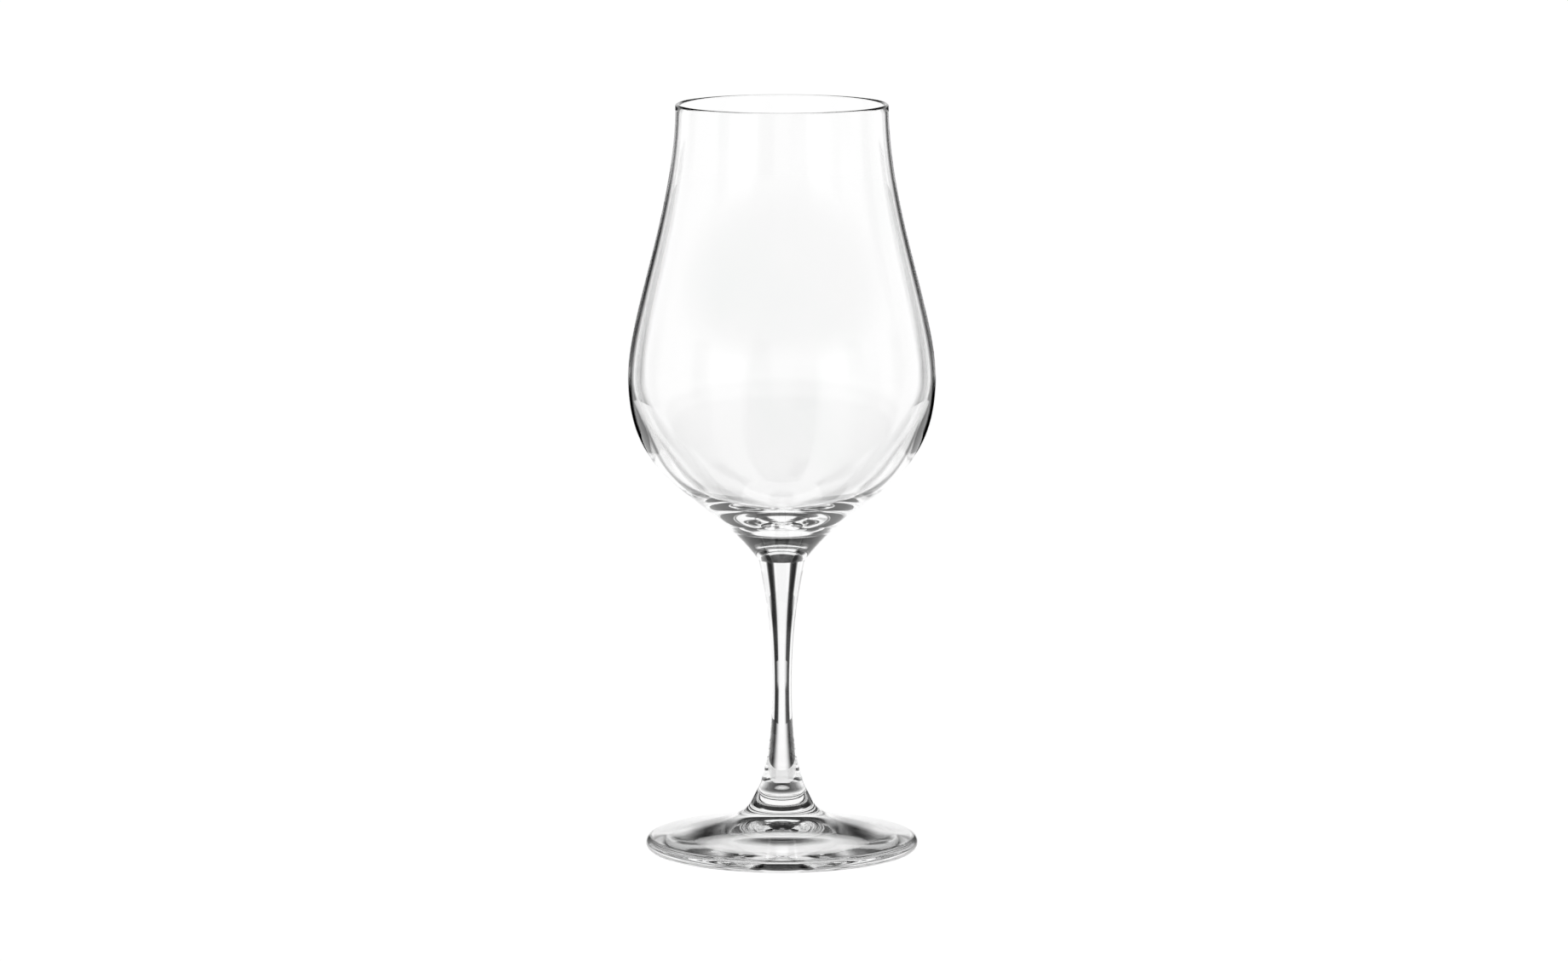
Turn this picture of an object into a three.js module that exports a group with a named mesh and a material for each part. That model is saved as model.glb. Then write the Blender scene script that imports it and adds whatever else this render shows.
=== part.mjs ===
// Stemmed wine glass in clear glass: a blown tulip bowl, a drawn stem and a pressed foot.
// The three pieces are welded hot, so they share one axis and meet at two flat weld faces.
// Units are millimetres, +Z is up, and the origin is the middle of the resting face.

import * as THREE from 'three';

// Heights of the three pieces, stacked on each other: together they make the overall height.
const footHeight = 17.3;
const stemLength = 68.7;
const bowlHeight = 134;

// Weld faces.
const footWeldRadius = 7.4;
const bowlWeldRadius = 6.8;

// Bowl, outside: a cone that swells to the belly, then draws in to the rim.
const bowlRadius = 45;
const rimRadius = 31.1;
const bellyRise = 54;
const bowlBaseAngle = THREE.MathUtils.degToRad(53.5);
const bowlBaseReach = 27;
const bellyReachDown = 32;
const bellyReachUp = 18.7;
const rimReach = 29.6;

// Bowl, inside: the wall is thinnest at the lip and the floor is thick and solid.
const lipWall = 1.4;
const bellyWall = 2;
const floorThickness = 12.5;
const floorReach = 15;
const cavityReachDown = 26;

// Stem: concave on both sides of its waist.
const waistRadius = 2.85;
const waistRise = 31.4;
const waistReachUp = 16.1;
const waistReachDown = 10.6;
const stemTopAngle = THREE.MathUtils.degToRad(79);
const stemTopReach = 10.3;
const stemBaseAngle = THREE.MathUtils.degToRad(64);
const stemBaseReach = 8.6;

// Foot: collar, sloping plate, rounded edge, resting ring and hollow underside.
const footRadius = 40;
const footEdgeThickness = 3.9;
const collarAngle = THREE.MathUtils.degToRad(61);
const collarReach = 3.2;
const collarBaseRadius = 10.8;
const collarBaseHeight = 11.8;
const collarBaseAngle = THREE.MathUtils.degToRad(43.5);
const collarBaseReach = 2.7;
const plateReachIn = 5.3;
const plateReachOut = 10;
const plateEdgeAngle = THREE.MathUtils.degToRad(8);
const restingRingWidth = 2.4;
const undersideHollow = 6;
const undersideLipReach = 12;
const undersideCrownReach = 8;

// Facets: sides around the axis, and steps along a long, a middling and a short stretch of outline.
const bowlSides = 64;
const stemSides = 48;
const footSides = 72;
const longSteps = 12;
const middleSteps = 8;
const shortSteps = 4;

// Outline points closer than this are one point.
const samePoint = 1e-4;

const glass = { color: 0xf2f6f7, roughness: 0.02, metalness: 0 };

function at(radius, height) {
  return new THREE.Vector2(radius, height);
}

// A point a given distance from another, in the direction of an angle above the horizontal.
function along(point, angle, distance) {
  return at(point.x + distance * Math.cos(angle), point.y + distance * Math.sin(angle));
}

function straight(from, to) {
  return new THREE.LineCurve(from, to);
}

function sweep(from, handleFrom, handleTo, to) {
  return new THREE.CubicBezierCurve(from, handleFrom, handleTo, to);
}

// A round edge about a centre, from one angle to another, in degrees above the horizontal.
function round(centreRadius, centreHeight, radius, startDegrees, endDegrees) {
  const start = THREE.MathUtils.degToRad(startDegrees);
  const end = THREE.MathUtils.degToRad(endDegrees);
  return new THREE.EllipseCurve(centreRadius, centreHeight, radius, radius, start, end);
}

// Turns a closed outline about the axis. Each stretch is a curve and its number of steps.
function turned(name, sides, stretches) {
  const outline = [];
  for (const [curve, steps] of stretches) {
    for (const point of curve.getPoints(steps)) {
      const last = outline.at(-1);
      if (!last || last.distanceTo(point) > samePoint) {
        outline.push(point);
      }
    }
  }
  const geometry = new THREE.LatheGeometry(outline, sides);
  geometry.rotateX(Math.PI / 2);
  const mesh = new THREE.Mesh(geometry, new THREE.MeshStandardMaterial(glass));
  mesh.name = name;
  return mesh;
}

// The bowl stands on the stem's top: heights are measured from its weld face.
function makeBowl() {
  const middle = at(0, 0);
  const weldEdge = at(bowlWeldRadius, 0);
  const outOfWeld = along(weldEdge, bowlBaseAngle, bowlBaseReach);
  const belly = at(bowlRadius, bellyRise);
  const belowBelly = at(belly.x, belly.y - bellyReachDown);
  const aboveBelly = at(belly.x, belly.y + bellyReachUp);

  const lipRadius = lipWall / 2;
  const rim = at(rimRadius, bowlHeight - lipRadius);
  const belowRim = at(rim.x, rim.y - rimReach);
  const lipInside = at(rim.x - lipWall, rim.y);
  const belowLip = at(lipInside.x, lipInside.y - rimReach);

  const bellyInside = at(belly.x - bellyWall, belly.y);
  const aboveInside = at(bellyInside.x, belly.y + bellyReachUp);
  const belowInside = at(bellyInside.x, belly.y - cavityReachDown);
  const floor = at(0, floorThickness);
  const besideFloor = at(floorReach, floor.y);

  const bowl = turned('bowl', bowlSides, [
    [straight(middle, weldEdge), 1],
    [sweep(weldEdge, outOfWeld, belowBelly, belly), longSteps],
    [sweep(belly, aboveBelly, belowRim, rim), middleSteps],
    [round(rim.x - lipRadius, rim.y, lipRadius, 0, 180), shortSteps],
    [sweep(lipInside, belowLip, aboveInside, bellyInside), middleSteps],
    [sweep(bellyInside, belowInside, besideFloor, floor), longSteps],
  ]);
  bowl.position.z = footHeight + stemLength;
  return bowl;
}

// The stem stands on the foot's collar: heights are measured from its lower weld face.
function makeStem() {
  const base = at(footWeldRadius, 0);
  const waist = at(waistRadius, waistRise);
  const top = at(bowlWeldRadius, stemLength);
  const aboveBase = along(base, Math.PI - stemBaseAngle, stemBaseReach);
  const belowWaist = at(waist.x, waist.y - waistReachDown);
  const aboveWaist = at(waist.x, waist.y + waistReachUp);
  const belowTop = along(top, Math.PI + stemTopAngle, stemTopReach);

  const stem = turned('stem', stemSides, [
    [straight(at(0, 0), base), 1],
    [sweep(base, aboveBase, belowWaist, waist), middleSteps],
    [sweep(waist, aboveWaist, belowTop, top), longSteps],
    [straight(top, at(0, stemLength)), 1],
  ]);
  stem.position.z = footHeight;
  return stem;
}

function makeFoot() {
  const edgeRadius = footEdgeThickness / 2;
  const edgeCentre = at(footRadius - edgeRadius, edgeRadius);
  const edgeTop = at(edgeCentre.x, footEdgeThickness);
  const restingOuter = at(edgeCentre.x, 0);
  const restingInner = at(edgeCentre.x - restingRingWidth, 0);
  const crown = at(0, undersideHollow);
  const collarBase = at(collarBaseRadius, collarBaseHeight);
  const collarTop = at(footWeldRadius, footHeight);

  const outOfCrown = at(undersideCrownReach, crown.y);
  const intoRing = at(restingInner.x - undersideLipReach, 0);
  const outOfEdge = along(edgeTop, Math.PI - plateEdgeAngle, plateReachOut);
  const intoPlate = along(collarBase, -collarBaseAngle, plateReachIn);
  const outOfPlate = along(collarBase, Math.PI - collarBaseAngle, collarBaseReach);
  const intoCollar = along(collarTop, -collarAngle, collarReach);

  return turned('foot', footSides, [
    [sweep(crown, outOfCrown, intoRing, restingInner), middleSteps],
    [straight(restingInner, restingOuter), 1],
    [round(edgeCentre.x, edgeCentre.y, edgeRadius, -90, 90), middleSteps],
    [sweep(edgeTop, outOfEdge, intoPlate, collarBase), longSteps],
    [sweep(collarBase, outOfPlate, intoCollar, collarTop), shortSteps],
    [straight(collarTop, at(0, footHeight)), 1],
  ]);
}

const glassPiece = new THREE.Group();
glassPiece.add(makeFoot(), makeStem(), makeBowl());

export default glassPiece;
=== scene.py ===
"""A clear stemmed wine glass: three glass pieces turned about one axis, on a pale studio floor.

The bowl, the stem and the foot are separate closed bodies that meet at flat weld faces. Their heights
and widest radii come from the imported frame. Their other sizes and their curves are those that the frame's
solids follow. All lengths are in metres.
"""

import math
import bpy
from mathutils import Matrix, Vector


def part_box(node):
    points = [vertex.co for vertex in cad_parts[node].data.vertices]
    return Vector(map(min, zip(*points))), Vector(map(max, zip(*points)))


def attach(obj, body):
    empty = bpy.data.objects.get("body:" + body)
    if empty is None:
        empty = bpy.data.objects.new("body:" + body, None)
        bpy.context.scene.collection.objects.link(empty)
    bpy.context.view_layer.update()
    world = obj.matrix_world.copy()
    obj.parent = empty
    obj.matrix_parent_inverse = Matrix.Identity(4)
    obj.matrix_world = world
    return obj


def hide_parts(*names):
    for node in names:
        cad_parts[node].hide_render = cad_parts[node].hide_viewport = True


bl_info = {
    "name": "Stemmed Wine Glass",
    "version": (1, 0, 0),
    "blender": (4, 5, 0),
    "location": "View3D > Sidebar > Wine Glass",
    "description": "Turns the bowl, stem and foot of a clear wine glass and lights them in a pale studio",
    "category": "Object",
}

import bpy
from mathutils import Vector

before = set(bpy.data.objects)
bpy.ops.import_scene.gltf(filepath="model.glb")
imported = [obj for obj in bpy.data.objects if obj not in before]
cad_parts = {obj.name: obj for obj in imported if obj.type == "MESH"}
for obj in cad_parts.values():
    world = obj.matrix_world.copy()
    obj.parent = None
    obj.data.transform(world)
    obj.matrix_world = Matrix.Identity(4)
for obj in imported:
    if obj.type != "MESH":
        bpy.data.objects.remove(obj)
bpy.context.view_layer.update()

FOOT_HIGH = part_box("foot")[1]
STEM_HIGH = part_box("stem")[1]
BOWL_LOW, BOWL_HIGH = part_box("bowl")
LOWER_WELD = FOOT_HIGH.z
UPPER_WELD = BOWL_LOW.z
LOWER_WELD_RADIUS = STEM_HIGH.x
UPPER_WELD_RADIUS = 0.0068
OVERALL_HEIGHT = BOWL_HIGH.z

FULL_TURN = 2 * math.pi
CREASE_ANGLE = math.radians(20)

# Outline points closer than this are one point.
SAME_POINT = 1e-7
# Points of the turned mesh this close are merged, and points this close to a weld's height belong to it.
MERGE_DISTANCE = 1e-6

# The floor lies a hair under the resting ring, so that the two never share a plane.
FLOOR_DROP = 0.0001
FLOOR_REACH = 40.0
MOTTLE_SHADE = 0.98

# The light around the glass: how high its direction points, and how bright it is there.
SKY_STOPS = ((0.0, 1.0), (0.18, 1.0), (0.28, 0.04), (1.0, 0.02))


# ---------------------------------------------------------------------------------------------- settings

def length(name, description, default):
    return bpy.props.FloatProperty(name=name, description=description, default=default, min=0.0,
                                   precision=4, unit="LENGTH")


def angle(name, description, degrees):
    return bpy.props.FloatProperty(name=name, description=description, default=math.radians(degrees),
                                   subtype="ANGLE")


def count(name, description, default):
    return bpy.props.IntProperty(name=name, description=description, default=default, min=3)


def factor(name, description, default):
    return bpy.props.FloatProperty(name=name, description=description, default=default, min=0.0,
                                   max=1.0, subtype="FACTOR")


def number(name, description, default):
    return bpy.props.FloatProperty(name=name, description=description, default=default, min=0.0)


def colour(name, description, default):
    return bpy.props.FloatVectorProperty(name=name, description=description, default=default, size=3,
                                         min=0.0, max=1.0, subtype="COLOR")


class BowlSettings(bpy.types.PropertyGroup):
    """Sizes of the blown bowl. Heights are measured from the weld under it."""

    weld_radius: length("Weld radius", "Radius of the face that the stem is welded to", UPPER_WELD_RADIUS)
    belly_radius: length("Belly radius", "Widest radius of the bowl", BOWL_HIGH.x)
    belly_rise: length("Belly rise", "Height of the belly", 0.054)
    rim_radius: length("Rim radius", "Outer radius at the lip", 0.0311)
    base_angle: angle("Base angle", "Slope of the cone where it leaves the weld", 53.5)
    base_reach: length("Base reach", "How far the cone keeps that slope", 0.027)
    reach_down: length("Belly reach down", "How far the belly stays upright below", 0.032)
    reach_up: length("Belly reach up", "How far the belly stays upright above", 0.0187)
    rim_reach: length("Rim reach", "How far the rim stays upright", 0.0296)
    lip_wall: length("Lip wall", "Wall thickness at the lip", 0.0014)
    belly_wall: length("Belly wall", "Wall thickness at the belly", 0.002)
    floor_thickness: length("Floor thickness", "Glass between the weld and the cavity", 0.0125)
    floor_reach: length("Floor reach", "How far the cavity's floor stays level", 0.015)
    cavity_reach_down: length("Cavity reach down", "How far the cavity stays upright", 0.026)
    sides: count("Sides", "Facets around the bowl", 256)
    steps: count("Steps", "Facets along each stretch of the outline", 56)
    lip_steps: count("Lip steps", "Facets over the fire-rounded lip", 16)


class StemSettings(bpy.types.PropertyGroup):
    """Sizes of the drawn stem. Heights are measured from the weld on the foot."""

    top_radius: length("Top radius", "Radius at the weld under the bowl", UPPER_WELD_RADIUS)
    base_radius: length("Base radius", "Radius at the weld on the foot", LOWER_WELD_RADIUS)
    waist_radius: length("Waist radius", "Thinnest radius", 0.00285)
    waist_rise: length("Waist rise", "Height of the waist", 0.0314)
    reach_up: length("Waist reach up", "How far the waist stays upright above", 0.0161)
    reach_down: length("Waist reach down", "How far the waist stays upright below", 0.0106)
    top_angle: angle("Top angle", "Slope of the side at the upper weld", 79)
    top_reach: length("Top reach", "How far that slope is kept", 0.0103)
    base_angle: angle("Base angle", "Slope of the side at the lower weld", 64)
    base_reach: length("Base reach", "How far that slope is kept", 0.0086)
    sides: count("Sides", "Facets around the stem", 192)
    steps: count("Steps", "Facets along each stretch of the outline", 64)


class FootSettings(bpy.types.PropertyGroup):
    """Sizes of the pressed foot."""

    radius: length("Radius", "Outer radius of the foot", FOOT_HIGH.x)
    weld_radius: length("Weld radius", "Radius of the face that the stem is welded to", LOWER_WELD_RADIUS)
    edge_thickness: length("Edge thickness", "Height of the rounded edge", 0.0039)
    collar_radius: length("Collar radius", "Radius where the collar meets the plate", 0.0108)
    collar_height: length("Collar height", "Height where the collar meets the plate", 0.0118)
    collar_angle: angle("Collar angle", "Slope of the collar at the weld", 61)
    collar_reach: length("Collar reach", "How far that slope is kept", 0.0032)
    spread_angle: angle("Spread angle", "Slope where the collar meets the plate", 43.5)
    spread_reach_up: length("Spread reach up", "How far that slope is kept upwards", 0.0027)
    spread_reach_out: length("Spread reach out", "How far that slope is kept outwards", 0.0053)
    edge_angle: angle("Edge angle", "Slope of the plate where it meets the edge", 8)
    edge_reach: length("Edge reach", "How far that slope is kept", 0.010)
    ring_width: length("Resting ring", "Width of the flat ring that the glass stands on", 0.0024)
    hollow: length("Hollow", "Depth of the underside", 0.006)
    hollow_reach_in: length("Hollow reach in", "How far the hollow stays level from the axis", 0.008)
    hollow_reach_out: length("Hollow reach out", "How far it stays level from the ring", 0.012)
    sides: count("Sides", "Facets around the foot", 256)
    steps: count("Steps", "Facets along each stretch of the outline", 56)
    edge_steps: count("Edge steps", "Facets over the rounded edge", 24)


class GlassSettings(bpy.types.PropertyGroup):
    """The glass that all three pieces are made of."""

    tint: colour("Tint", "Colour of the glass where it is clearest", (1.0, 1.0, 1.0))
    shade: colour("Shade", "Colour where faint cords run through the glass", (0.975, 0.985, 0.98))
    refraction: number("Index of refraction", "How strongly the glass bends light", 1.52)
    roughness: factor("Roughness", "Most roughness in the fire-polished skin", 0.012)
    waviness: factor("Waviness", "How strongly the skin's ripples show", 0.06)


class StudioSettings(bpy.types.PropertyGroup):
    """Floor, light and camera."""

    floor_colour: colour("Floor colour", "Colour of the pale floor", (0.9, 0.9, 0.9))
    floor_glow: number("Floor glow", "Light that the floor table gives by itself", 0.95)
    sky_light: number("Sky light", "Strength of the soft light around the glass", 1.0)
    softbox_glow: number("Softbox glow", "Light that the softbox behind the bowl gives", 1.03)
    camera_distance: number("Camera distance", "In glass heights, from the axis", 9.5)
    camera_height: number("Camera height", "In glass heights, above the floor", 1.8543)
    camera_aside: length("Camera aside", "How far it stands to the right of the axis", 0.0006)
    camera_pitch: angle("Camera pitch", "How far the camera looks down", 8.13)
    lens: bpy.props.FloatProperty(name="Lens", description="Focal length in millimetres", default=165.64)


# ---------------------------------------------------------------------------------------------- outlines

def along(point, direction, distance):
    """The point a distance away, in a direction in radians above the horizontal."""
    return (point[0] + distance * math.cos(direction), point[1] + distance * math.sin(direction))


def sweep(start, handle_start, handle_end, end, steps):
    """Points on a curve that leaves start towards its handle and reaches end from the other."""
    points = []
    for i in range(steps + 1):
        t = i / steps
        weights = ((1 - t) ** 3, 3 * (1 - t) ** 2 * t, 3 * (1 - t) * t ** 2, t ** 3)
        corners = (start, handle_start, handle_end, end)
        points.append(tuple(sum(w * c[axis] for w, c in zip(weights, corners)) for axis in (0, 1)))
    return points


def rounded(centre, radius, first, last, steps):
    """Points on an arc, from one angle to another in degrees above the horizontal."""
    turns = [math.radians(first + (last - first) * i / steps) for i in range(steps + 1)]
    return [along(centre, turn, radius) for turn in turns]


def bowl_outline(s):
    """From the middle of the weld out, up the outside, over the lip and down the cavity."""
    weld = (s.weld_radius, UPPER_WELD)
    belly_height = UPPER_WELD + s.belly_rise
    belly = (s.belly_radius, belly_height)
    lip_radius = s.lip_wall / 2
    rim = (s.rim_radius, OVERALL_HEIGHT - lip_radius)
    lip_inside = (s.rim_radius - s.lip_wall, rim[1])
    inside = (s.belly_radius - s.belly_wall, belly_height)
    floor = (0.0, UPPER_WELD + s.floor_thickness)
    return [
        [(0.0, UPPER_WELD), weld],
        sweep(weld, along(weld, s.base_angle, s.base_reach), (belly[0], belly_height - s.reach_down),
              belly, 2 * s.steps),
        sweep(belly, (belly[0], belly_height + s.reach_up), (rim[0], rim[1] - s.rim_reach), rim, s.steps),
        rounded((rim[0] - lip_radius, rim[1]), lip_radius, 0, 180, s.lip_steps),
        sweep(lip_inside, (lip_inside[0], rim[1] - s.rim_reach), (inside[0], belly_height + s.reach_up),
              inside, s.steps),
        sweep(inside, (inside[0], belly_height - s.cavity_reach_down), (s.floor_reach, floor[1]),
              floor, 2 * s.steps),
    ]


def stem_outline(s):
    """From the middle of the lower weld out, up the concave side and in again."""
    base = (s.base_radius, LOWER_WELD)
    waist = (s.waist_radius, LOWER_WELD + s.waist_rise)
    top = (s.top_radius, UPPER_WELD)
    return [
        [(0.0, LOWER_WELD), base],
        sweep(base, along(base, math.pi - s.base_angle, s.base_reach),
              (waist[0], waist[1] - s.reach_down), waist, s.steps),
        sweep(waist, (waist[0], waist[1] + s.reach_up),
              along(top, math.pi + s.top_angle, s.top_reach), top, s.steps),
        [top, (0.0, UPPER_WELD)],
    ]


def foot_outline(s):
    """From the hollow's crown out to the ring, round the edge, up the plate and the collar."""
    edge_radius = s.edge_thickness / 2
    edge = (s.radius - edge_radius, edge_radius)
    edge_top = (edge[0], s.edge_thickness)
    ring_outside = (edge[0], 0.0)
    ring_inside = (edge[0] - s.ring_width, 0.0)
    crown = (0.0, s.hollow)
    spread = (s.collar_radius, s.collar_height)
    weld = (s.weld_radius, LOWER_WELD)
    return [
        sweep(crown, (s.hollow_reach_in, s.hollow), (ring_inside[0] - s.hollow_reach_out, 0.0),
              ring_inside, s.steps),
        [ring_inside, ring_outside],
        rounded(edge, edge_radius, -90, 90, s.edge_steps),
        sweep(edge_top, along(edge_top, math.pi - s.edge_angle, s.edge_reach),
              along(spread, -s.spread_angle, s.spread_reach_out), spread, s.steps),
        sweep(spread, along(spread, math.pi - s.spread_angle, s.spread_reach_up),
              along(weld, -s.collar_angle, s.collar_reach), weld, s.steps // 2),
        [weld, (0.0, LOWER_WELD)],
    ]


# --------------------------------------------------------------------------------------- turning in nodes

def linked(tree, kind, inputs=None, **settings):
    """Adds a node, sets it up and joins its inputs: a socket is linked, anything else is its value."""
    node = tree.nodes.new(kind)
    for key, value in settings.items():
        setattr(node, key, value)
    for key, value in (inputs or {}).items():
        if isinstance(value, bpy.types.NodeSocket):
            tree.links.new(value, node.inputs[key])
        else:
            node.inputs[key].default_value = value
    return node


def worked(tree, operation, *values):
    """The result of a Math node on sockets and plain values."""
    return linked(tree, "ShaderNodeMath", dict(enumerate(values)), operation=operation).outputs[0]


def blended(tree, share, first, second):
    """The colour between two others: the first where the share is 0, the second where it is 1."""
    share_socket, first_socket, second_socket, colour_result = 0, 6, 7, 2
    mix = linked(tree, "ShaderNodeMix",
                 {share_socket: share, first_socket: first, second_socket: second}, data_type="RGBA")
    return mix.outputs[colour_result]


def add_sockets(tree, direction, *sockets):
    """Gives a node group its named inputs or outputs, from pairs of a name and a kind."""
    for name, kind in sockets:
        tree.interface.new_socket(name, in_out=direction, socket_type="NodeSocket" + kind)


def turning_tree():
    """Turns an outline about the Z axis: its points stand in order in the XZ plane, from axis to axis."""
    name = "Turned Glass"
    if name in bpy.data.node_groups:
        return bpy.data.node_groups[name]
    tree = bpy.data.node_groups.new(name, "GeometryNodeTree")
    tree.is_modifier = True
    add_sockets(tree, "INPUT", ("Outline", "Geometry"), ("Sides", "Int"), ("Lower weld", "Float"),
                ("Upper weld", "Float"), ("Crease angle", "Float"), ("Glass", "Material"),
                ("Weld", "Material"))
    add_sockets(tree, "OUTPUT", ("Piece", "Geometry"))

    # A grid with one column for each side and one more, which closes on the first.
    given = tree.nodes.new("NodeGroupInput").outputs
    size = linked(tree, "GeometryNodeAttributeDomainSize", {"Geometry": given["Outline"]})
    points = size.outputs["Point Count"]
    columns = worked(tree, "ADD", given["Sides"], 1.0)
    sheet = linked(tree, "GeometryNodeMeshGrid", {"Vertices X": columns, "Vertices Y": points})

    # Each row takes its radius and height from one outline point, and each column one turn.
    index = tree.nodes.new("GeometryNodeInputIndex").outputs[0]
    column = worked(tree, "FLOOR", worked(tree, "DIVIDE", index, points))
    row = worked(tree, "MODULO", index, points)
    turn = worked(tree, "MULTIPLY", worked(tree, "DIVIDE", column, given["Sides"]), FULL_TURN)
    place = tree.nodes.new("GeometryNodeInputPosition").outputs[0]
    outline = linked(tree, "GeometryNodeSampleIndex",
                     {"Geometry": given["Outline"], "Value": place, "Index": row},
                     data_type="FLOAT_VECTOR", domain="POINT")
    parts = linked(tree, "ShaderNodeSeparateXYZ", {0: outline.outputs[0]})
    x = worked(tree, "MULTIPLY", parts.outputs["X"], worked(tree, "COSINE", turn))
    y = worked(tree, "MULTIPLY", parts.outputs["X"], worked(tree, "SINE", turn))
    point = linked(tree, "ShaderNodeCombineXYZ", {"X": x, "Y": y, "Z": parts.outputs["Z"]})
    wrapped = linked(tree, "GeometryNodeSetPosition",
                     {"Geometry": sheet.outputs["Mesh"], "Position": point.outputs[0]})
    closed = linked(tree, "GeometryNodeMergeByDistance",
                    {"Geometry": wrapped.outputs[0], "Distance": MERGE_DISTANCE})

    # Smooth all over, but for the edges that bend more than a crease.
    smooth = linked(tree, "GeometryNodeSetShadeSmooth", {"Geometry": closed.outputs[0]}, domain="FACE")
    bend = tree.nodes.new("GeometryNodeInputMeshEdgeAngle").outputs[0]
    creased = worked(tree, "GREATER_THAN", bend, given["Crease angle"])
    edged = linked(tree, "GeometryNodeSetShadeSmooth",
                   {"Geometry": smooth.outputs[0], "Selection": creased, "Shade Smooth": False},
                   domain="EDGE")

    # Glass all over, but for the faces in the two welds.
    real = linked(tree, "GeometryNodeRealizeInstances", {"Geometry": edged.outputs[0]})
    glazed = linked(tree, "GeometryNodeSetMaterial",
                    {"Geometry": real.outputs[0], "Material": given["Glass"]})
    height = linked(tree, "ShaderNodeSeparateXYZ", {0: place}).outputs["Z"]
    lower, upper = (worked(tree, "COMPARE", height, given[weld], MERGE_DISTANCE)
                    for weld in ("Lower weld", "Upper weld"))
    welded = linked(tree, "GeometryNodeSetMaterial",
                    {"Geometry": glazed.outputs[0], "Selection": worked(tree, "MAXIMUM", lower, upper),
                     "Material": given["Weld"]})
    leaving = tree.nodes.new("NodeGroupOutput")
    tree.links.new(welded.outputs[0], leaving.inputs["Piece"])
    return tree


def set_input(modifier, name, value):
    """Sets a modifier's input by the identifier of the socket that has that name."""
    for item in modifier.node_group.interface.items_tree:
        if item.item_type == "SOCKET" and item.in_out == "INPUT" and item.name == name:
            modifier[item.identifier] = value
            return
    raise KeyError(name)


def turn_piece(name, stretches, sides, glass):
    """Turns an outline into a closed mesh that stands for the CAD node of the same name."""
    points = []
    for stretch in stretches:
        for radius, height in stretch:
            point = Vector((radius, 0.0, height))
            if not points or (points[-1] - point).length > SAME_POINT:
                points.append(point)
    outline = bpy.data.meshes.new(name + "_outline")
    outline.from_pydata(points, [(i, i + 1) for i in range(len(points) - 1)], [])
    carrier = bpy.data.objects.new(name + "_outline", outline)
    bpy.context.scene.collection.objects.link(carrier)

    modifier = carrier.modifiers.new("Turning", "NODES")
    modifier.node_group = turning_tree()
    set_input(modifier, "Sides", sides)
    set_input(modifier, "Lower weld", LOWER_WELD)
    set_input(modifier, "Upper weld", UPPER_WELD)
    set_input(modifier, "Crease angle", CREASE_ANGLE)
    set_input(modifier, "Glass", glass)
    set_input(modifier, "Weld", weld_material())

    graph = bpy.context.evaluated_depsgraph_get()
    mesh = bpy.data.meshes.new_from_object(carrier.evaluated_get(graph), depsgraph=graph)
    bpy.data.objects.remove(carrier)
    bpy.data.meshes.remove(outline)
    mesh.name = "glass_" + name
    piece = bpy.data.objects.new("glass_" + name, mesh)
    bpy.context.scene.collection.objects.link(piece)
    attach(piece, "root")
    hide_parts(name)


# --------------------------------------------------------------------------------------------- materials

def fire_polish():
    """Effect shared by the glass materials: faint ripples, cords in the glass and patches of haze."""
    name = "Fire Polish"
    if name in bpy.data.node_groups:
        return bpy.data.node_groups[name]
    tree = bpy.data.node_groups.new(name, "ShaderNodeTree")
    add_sockets(tree, "INPUT", ("Place", "Vector"), ("Ripple size", "Float"), ("Cord size", "Float"),
                ("Clear", "Color"), ("Shade", "Color"), ("Most haze", "Float"))
    add_sockets(tree, "OUTPUT", ("Colour", "Color"), ("Haze", "Float"), ("Ripple", "Float"))
    given = tree.nodes.new("NodeGroupInput").outputs

    ripple = linked(tree, "ShaderNodeTexNoise",
                    {"Vector": given["Place"], "Scale": worked(tree, "DIVIDE", 1.0, given["Ripple size"]),
                     "Detail": 1.0, "Roughness": 0.4})
    cord = linked(tree, "ShaderNodeTexNoise",
                  {"Vector": given["Place"], "Scale": worked(tree, "DIVIDE", 1.0, given["Cord size"]),
                   "Detail": 2.0, "Roughness": 0.5, "Distortion": 0.6})
    patch = linked(tree, "ShaderNodeMapRange",
                   {"Value": cord.outputs[0], "From Min": 0.55, "From Max": 0.8}).outputs[0]
    shade = blended(tree, patch, given["Clear"], given["Shade"])
    haze = worked(tree, "MULTIPLY", patch, given["Most haze"])
    leaving = tree.nodes.new("NodeGroupOutput")
    tree.links.new(shade, leaving.inputs["Colour"])
    tree.links.new(haze, leaving.inputs["Haze"])
    tree.links.new(ripple.outputs[0], leaving.inputs["Ripple"])
    return tree


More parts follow.
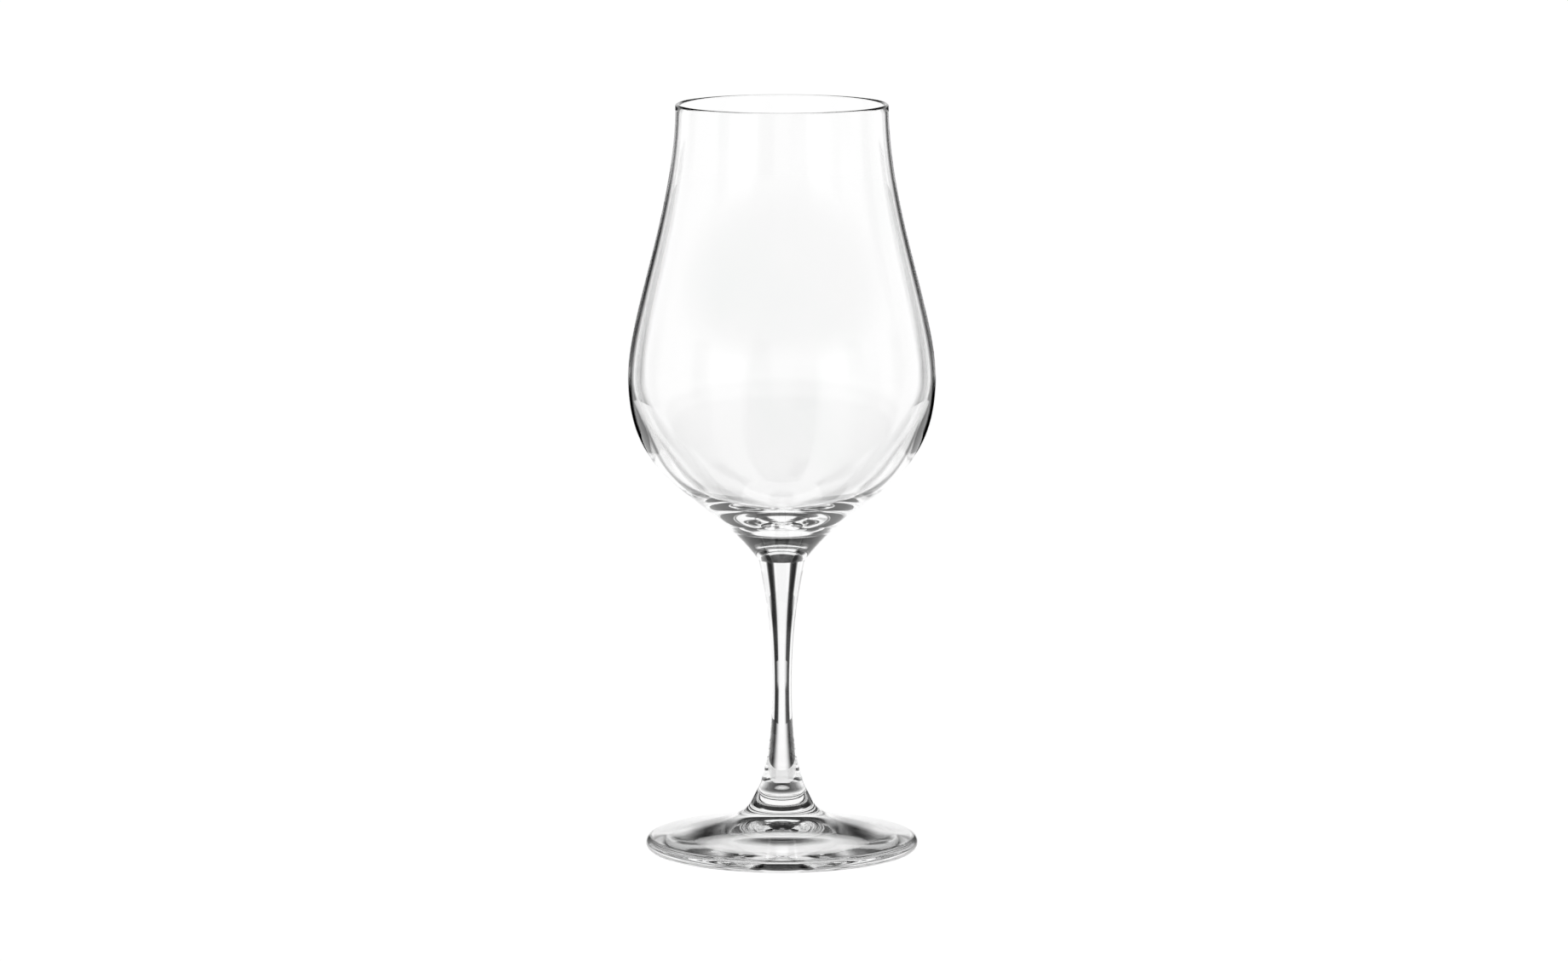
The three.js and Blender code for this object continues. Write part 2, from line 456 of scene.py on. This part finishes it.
def glass_material(name, stretch, ripple_size, cord_size, ripple_height):
    """Clear glass whose ripples are drawn out where the stretch along X, Y or Z is less than one."""
    if name in bpy.data.materials:
        return bpy.data.materials[name]
    settings = bpy.context.scene.wine_glass_glass
    material = bpy.data.materials.new(name)
    material.use_nodes = True
    tree = material.node_tree
    shader = tree.nodes["Principled BSDF"]
    shader.inputs["Metallic"].default_value = 0.0
    shader.inputs["Transmission Weight"].default_value = 1.0
    shader.inputs["IOR"].default_value = settings.refraction

    place = tree.nodes.new("ShaderNodeTexCoord").outputs["Object"]
    drawn = linked(tree, "ShaderNodeMapping", {"Vector": place, "Scale": stretch})
    polish = linked(tree, "ShaderNodeGroup", node_tree=fire_polish())
    tree.links.new(drawn.outputs[0], polish.inputs["Place"])
    for socket, value in (("Ripple size", ripple_size), ("Cord size", cord_size),
                          ("Clear", (*settings.tint, 1.0)), ("Shade", (*settings.shade, 1.0)),
                          ("Most haze", settings.roughness)):
        polish.inputs[socket].default_value = value
    ripple = linked(tree, "ShaderNodeBump",
                    {"Height": polish.outputs["Ripple"], "Strength": settings.waviness,
                     "Distance": ripple_height})
    tree.links.new(polish.outputs["Colour"], shader.inputs["Base Color"])
    tree.links.new(polish.outputs["Haze"], shader.inputs["Roughness"])
    tree.links.new(ripple.outputs[0], shader.inputs["Normal"])
    return material


def weld_material():
    """The faces inside a weld: light passes between two fused pieces without bending."""
    name = "fused_weld"
    if name in bpy.data.materials:
        return bpy.data.materials[name]
    material = bpy.data.materials.new(name)
    material.use_nodes = True
    material.node_tree.nodes["Principled BSDF"].inputs["Alpha"].default_value = 0.0
    return material


def floor_material():
    """Pale matt light table with a barely mottled surface."""
    settings = bpy.context.scene.wine_glass_studio
    material = bpy.data.materials.new("pale_floor")
    material.use_nodes = True
    tree = material.node_tree
    shader = tree.nodes["Principled BSDF"]
    place = tree.nodes.new("ShaderNodeTexCoord").outputs["Object"]
    mottle = linked(tree, "ShaderNodeTexNoise", {"Vector": place, "Scale": 3.0, "Detail": 2.0})
    darker = [MOTTLE_SHADE * channel for channel in settings.floor_colour]
    tone = blended(tree, mottle.outputs[0], (*darker, 1.0), (*settings.floor_colour, 1.0))
    tree.links.new(tone, shader.inputs["Base Color"])
    shader.inputs["Roughness"].default_value = 0.9
    shader.inputs["Specular IOR Level"].default_value = 0.0
    shader.inputs["Emission Color"].default_value = (1.0, 1.0, 1.0, 1.0)
    shader.inputs["Emission Strength"].default_value = settings.floor_glow
    return material


def cloth_material(name, glow):
    """Cloth of a studio card, black or lit, whose soft edges thin out to nothing."""
    if name in bpy.data.materials:
        return bpy.data.materials[name]
    material = bpy.data.materials.new(name)
    material.use_nodes = True
    tree = material.node_tree
    tree.nodes.clear()
    cover = linked(tree, "ShaderNodeAttribute", attribute_name="cover")
    clear = linked(tree, "ShaderNodeBsdfTransparent")
    face = linked(tree, "ShaderNodeEmission", {"Strength": glow})
    cloth = linked(tree, "ShaderNodeMixShader",
                   {0: cover.outputs["Fac"], 1: clear.outputs[0], 2: face.outputs[0]})
    leaving = tree.nodes.new("ShaderNodeOutputMaterial")
    tree.links.new(cloth.outputs[0], leaving.inputs["Surface"])
    return material


# ------------------------------------------------------------------------------------------------- studio

# How dense a card's cloth is across it: pairs of an offset from its heading, in degrees, and a share.
SOFT_EDGE = ((-20, 0.0), (-16, 0.15), (-12, 0.4), (-8, 0.72), (-4, 0.95), (0, 1.0), (4, 1.0), (8, 0.7),
             (12, 0.0))
FIRM_EDGE = ((-10, 0.0), (-7, 0.9), (-4, 1.0), (5, 1.0), (8, 0.7), (11, 0.0))
EVEN_EDGES = ((-11, 0.0), (-6, 0.85), (-3, 1.0), (3, 1.0), (6, 0.85), (11, 0.0))
SKIRT_SPREAD = ((-20, 0.0), (-12, 0.9), (16, 0.9), (36, 0.0))
NET_SPREAD = ((-30, 0.0), (-15, 0.5), (30, 0.5), (45, 0.0))
WIDE_SPREAD = ((-30, 0.0), (-24, 1.0), (24, 1.0), (30, 0.0))

# Painted shadow: the glass's shadow on the floor, drawn as cloth that only the glass shows. Under the
# foot's plate it is a ring in two halves. Its cloth is thin, and densest towards one heading and the
# heading opposite to it.
# Under the collar it is a small disc, also in two halves.
HALF_TURN = range(0, 181, 12)
PAINTED_FOOT_SHADOW_DENSITY = 0.14
PAINTED_FOOT_SHADOW_SWING = 0.08
PAINTED_FOOT_SHADOW_HEADING = 35
PAINTED_FOOT_SHADOW_SPREAD = tuple(
    (degrees, PAINTED_FOOT_SHADOW_DENSITY + PAINTED_FOOT_SHADOW_SWING * math.cos(2 * math.radians(degrees - PAINTED_FOOT_SHADOW_HEADING)))
    for degrees in HALF_TURN)
PAINTED_COLLAR_SHADOW_SPREAD = tuple((degrees, 1.0) for degrees in HALF_TURN)

# How a card rises outwards: rows of a radius, a height and how dense its cloth is there.
NEAR_RISE = ((0.043, 0.0005, 1.0), (0.05, 0.03, 1.0), (0.056, 0.07, 1.0), (0.057, 0.078, 0.4))
STRIP_RISE = ((0.14, 0.001, 0.9), (0.26, 0.001, 0.9), (0.30, 0.001, 0.0))
FAR_RISE = ((0.45, 0.001, 1.0), (0.6, 0.16, 1.0), (0.63, 0.27, 0.6))
SKIRT_RISE = ((0.043, 0.0004, 1.0), (0.07, 0.02, 1.0))
NET_RISE = ((0.045, 0.002, 1.9), (0.09, 0.002, 1.7), (0.14, 0.002, 1.0), (1.2, 0.002, 1.0), (1.2, 1.2, 1.0))
# The next two rises are the painted shadow on the floor under the foot's plate and under the collar.
PAINTED_FOOT_SHADOW_RISE = ((0.022, -5e-5, 1.0), (0.043, -5e-5, 1.0))
PAINTED_COLLAR_SHADOW_RISE = ((0.0, -4e-5, 1.0), (0.008, -4e-5, 0.8), (0.015, -4e-5, 0.0))
NEAR_SIDE_RISE = ((0.043, 0.0005, 0.8), (0.05, 0.03, 0.85), (0.055, 0.06, 0.7), (0.056, 0.074, 0.0))
FAR_SIDE_RISE = ((0.35, 0.001, 0.4), (0.6, 0.16, 0.4), (0.63, 0.27, 0.0))
CAMERA_SIDE_RISE = ((0.045, 0.001, 1.0), (0.6, 0.001, 1.0), (0.6, 0.9, 1.0))
SOFTBOX_RISE = ((0.15, 0.185, 1.0), (0.15, 0.285, 1.0))

# Cards that stand in pairs, one on each side: name, heading, spread, rise and where the glass shows them.
PAIRED_CARDS = (
    ("near", 26.5, SOFT_EDGE, NEAR_RISE, "glass"),
    ("strip", 22, FIRM_EDGE, STRIP_RISE, "glass"),
    ("far", 23, FIRM_EDGE, FAR_RISE, "both"),
    ("skirt", 48, SKIRT_SPREAD, SKIRT_RISE, "glass"),
    ("net", 85, NET_SPREAD, NET_RISE, "mirror"),
    # The last two pairs are painted shadow on the floor under the foot's plate and under the collar, seen
    # only through the glass.
    ("painted_foot_shadow", 0, PAINTED_FOOT_SHADOW_SPREAD, PAINTED_FOOT_SHADOW_RISE, "glass"),
    ("painted_collar_shadow", 0, PAINTED_COLLAR_SHADOW_SPREAD, PAINTED_COLLAR_SHADOW_RISE, "glass"),
)
SIDE_HEADINGS = (-67, -117, 108, 162)
CAMERA_HEADING = 180

# Black cloth of the dark cards. Laid thin on the floor under the foot, it is also the painted shadow of the
# glass.
BLACK_CLOTH_AND_PAINTED_SHADOW = ("black_cloth", 0.0)


def card(name, heading, spread, rise, seen_in, cloth=BLACK_CLOTH_AND_PAINTED_SHADOW):
    """A card on a heading from the +Y axis, in degrees, with its cloth's name and glow.

    The card is seen through the glass ("glass"), mirrored in it ("mirror") or in both ways ("both"), and
    it shades nothing.
    """
    points = []
    for radius, height, _ in rise:
        for offset, _ in spread:
            bearing = math.radians(heading + offset)
            points.append((radius * math.sin(bearing), radius * math.cos(bearing), height))
    columns = len(spread)
    faces = []
    for row in range(len(rise) - 1):
        for i in range(columns - 1):
            first = row * columns + i
            faces.append((first, first + 1, first + columns + 1, first + columns))
    mesh = bpy.data.meshes.new(name)
    mesh.from_pydata(points, [], faces)
    cover = mesh.attributes.new("cover", "FLOAT", "POINT")
    cover.data.foreach_set("value", [share * density for _, _, density in rise for _, share in spread])
    mesh.materials.append(cloth_material(*cloth))
    sheet = bpy.data.objects.new(name, mesh)
    bpy.context.scene.collection.objects.link(sheet)
    sheet.visible_camera = False
    sheet.visible_diffuse = False
    sheet.visible_shadow = False
    sheet.visible_glossy = seen_in != "glass"
    sheet.visible_transmission = seen_in != "mirror"


def studio_world(settings):
    """Soft white light around the glass that turns dark overhead."""
    world = bpy.data.worlds.new("soft_studio")
    bpy.context.scene.world = world
    world.use_nodes = True
    tree = world.node_tree
    tree.nodes.clear()
    direction = tree.nodes.new("ShaderNodeTexCoord").outputs["Generated"]
    height = linked(tree, "ShaderNodeSeparateXYZ", {0: direction}).outputs["Z"]
    ramp = linked(tree, "ShaderNodeValToRGB", {0: height})
    elements = ramp.color_ramp.elements
    while len(elements) < len(SKY_STOPS):
        elements.new(1.0)
    for element, (position, brightness) in zip(elements, SKY_STOPS):
        element.position = position
        element.color = (brightness, brightness, brightness, 1.0)
    sky = linked(tree, "ShaderNodeBackground", {"Color": ramp.outputs[0], "Strength": settings.sky_light})
    leaving = tree.nodes.new("ShaderNodeOutputWorld")
    tree.links.new(sky.outputs[0], leaving.inputs["Surface"])


def studio_floor():
    """A wide square of pale floor."""
    corners = ((-1, -1), (1, -1), (1, 1), (-1, 1))
    mesh = bpy.data.meshes.new("floor")
    mesh.from_pydata([(FLOOR_REACH * x, FLOOR_REACH * y, -FLOOR_DROP) for x, y in corners],
                     [], [(0, 1, 2, 3)])
    mesh.materials.append(floor_material())
    floor = bpy.data.objects.new("floor", mesh)
    bpy.context.scene.collection.objects.link(floor)


def studio_cards(settings):
    """Black cards that draw the dark lines in the glass, a painted shadow under the foot, and a lit softbox
    behind the bowl.
    """
    for side, hand in ((-1, "left"), (1, "right")):
        for name, heading, spread, rise, seen_in in PAIRED_CARDS:
            mirrored = [(side * offset, share) for offset, share in spread]
            card(f"{name}_{hand}", side * heading, mirrored, rise, seen_in)
    for heading in SIDE_HEADINGS:
        card(f"near_{heading}", heading, EVEN_EDGES, NEAR_SIDE_RISE, "glass")
        card(f"far_{heading}", heading, EVEN_EDGES, FAR_SIDE_RISE, "glass")
    card("camera_side", CAMERA_HEADING, WIDE_SPREAD, CAMERA_SIDE_RISE, "mirror")
    card("softbox", 0, WIDE_SPREAD, SOFTBOX_RISE, "glass", ("lit_cloth", settings.softbox_glow))


def studio_camera(settings):
    """A long lens that looks slightly down at the glass from the -Y side."""
    data = bpy.data.cameras.new("camera")
    data.sensor_width = 36.0
    data.lens = settings.lens
    data.clip_start = 0.05
    data.clip_end = 100.0
    camera = bpy.data.objects.new("camera", data)
    camera.location = (settings.camera_aside, -settings.camera_distance * OVERALL_HEIGHT,
                       settings.camera_height * OVERALL_HEIGHT)
    camera.rotation_euler = (math.pi / 2 - settings.camera_pitch, 0.0, 0.0)
    bpy.context.scene.collection.objects.link(camera)
    bpy.context.scene.camera = camera


# ---------------------------------------------------------------------------------------------- operators

class WINEGLASS_OT_bowl(bpy.types.Operator):
    """Turn the blown bowl"""

    bl_idname = "wine_glass.bowl"
    bl_label = "Make the bowl"

    def execute(self, context):
        settings = context.scene.wine_glass_bowl
        glass = glass_material("blown_glass", stretch=(1.0, 1.0, 0.35), ripple_size=0.012,
                               cord_size=0.03, ripple_height=0.0004)
        turn_piece("bowl", bowl_outline(settings), settings.sides, glass)
        return {"FINISHED"}


class WINEGLASS_OT_stem(bpy.types.Operator):
    """Turn the drawn stem"""

    bl_idname = "wine_glass.stem"
    bl_label = "Make the stem"

    def execute(self, context):
        settings = context.scene.wine_glass_stem
        glass = glass_material("drawn_glass", stretch=(1.0, 1.0, 0.15), ripple_size=0.004,
                               cord_size=0.010, ripple_height=0.0002)
        turn_piece("stem", stem_outline(settings), settings.sides, glass)
        return {"FINISHED"}


class WINEGLASS_OT_foot(bpy.types.Operator):
    """Turn the pressed foot"""

    bl_idname = "wine_glass.foot"
    bl_label = "Make the foot"

    def execute(self, context):
        settings = context.scene.wine_glass_foot
        glass = glass_material("pressed_glass", stretch=(1.0, 1.0, 1.0), ripple_size=0.010,
                               cord_size=0.02, ripple_height=0.0004)
        turn_piece("foot", foot_outline(settings), settings.sides, glass)
        return {"FINISHED"}


class WINEGLASS_OT_studio(bpy.types.Operator):
    """Set up the pale floor, the soft light, the cards and the camera"""

    bl_idname = "wine_glass.studio"
    bl_label = "Set up the studio"

    def execute(self, context):
        settings = context.scene.wine_glass_studio
        studio_world(settings)
        studio_floor()
        studio_cards(settings)
        studio_camera(settings)
        scene = context.scene
        scene.view_settings.view_transform = "Standard"
        scene.cycles.max_bounces = 64
        scene.cycles.transmission_bounces = 64
        scene.cycles.glossy_bounces = 16
        scene.cycles.transparent_max_bounces = 24
        return {"FINISHED"}


class WINEGLASS_PT_panel(bpy.types.Panel):
    """Lists the pieces of the glass and the studio"""

    bl_idname = "WINEGLASS_PT_panel"
    bl_label = "Wine Glass"
    bl_space_type = "VIEW_3D"
    bl_region_type = "UI"
    bl_category = "Wine Glass"

    def draw(self, context):
        for operator in OPERATORS:
            self.layout.operator(operator.bl_idname)


SETTINGS = {
    "wine_glass_bowl": BowlSettings,
    "wine_glass_stem": StemSettings,
    "wine_glass_foot": FootSettings,
    "wine_glass_glass": GlassSettings,
    "wine_glass_studio": StudioSettings,
}
OPERATORS = (WINEGLASS_OT_studio, WINEGLASS_OT_foot, WINEGLASS_OT_stem, WINEGLASS_OT_bowl)


def register():
    for group in (*SETTINGS.values(), *OPERATORS, WINEGLASS_PT_panel):
        bpy.utils.register_class(group)
    for name, group in SETTINGS.items():
        setattr(bpy.types.Scene, name, bpy.props.PointerProperty(type=group))


def unregister():
    for name in SETTINGS:
        delattr(bpy.types.Scene, name)
    for group in reversed((*SETTINGS.values(), *OPERATORS, WINEGLASS_PT_panel)):
        bpy.utils.unregister_class(group)


def main():
    register()
    bpy.ops.wine_glass.studio()
    bpy.ops.wine_glass.foot()
    bpy.ops.wine_glass.stem()
    bpy.ops.wine_glass.bowl()


if __name__ == "__main__":
    main()
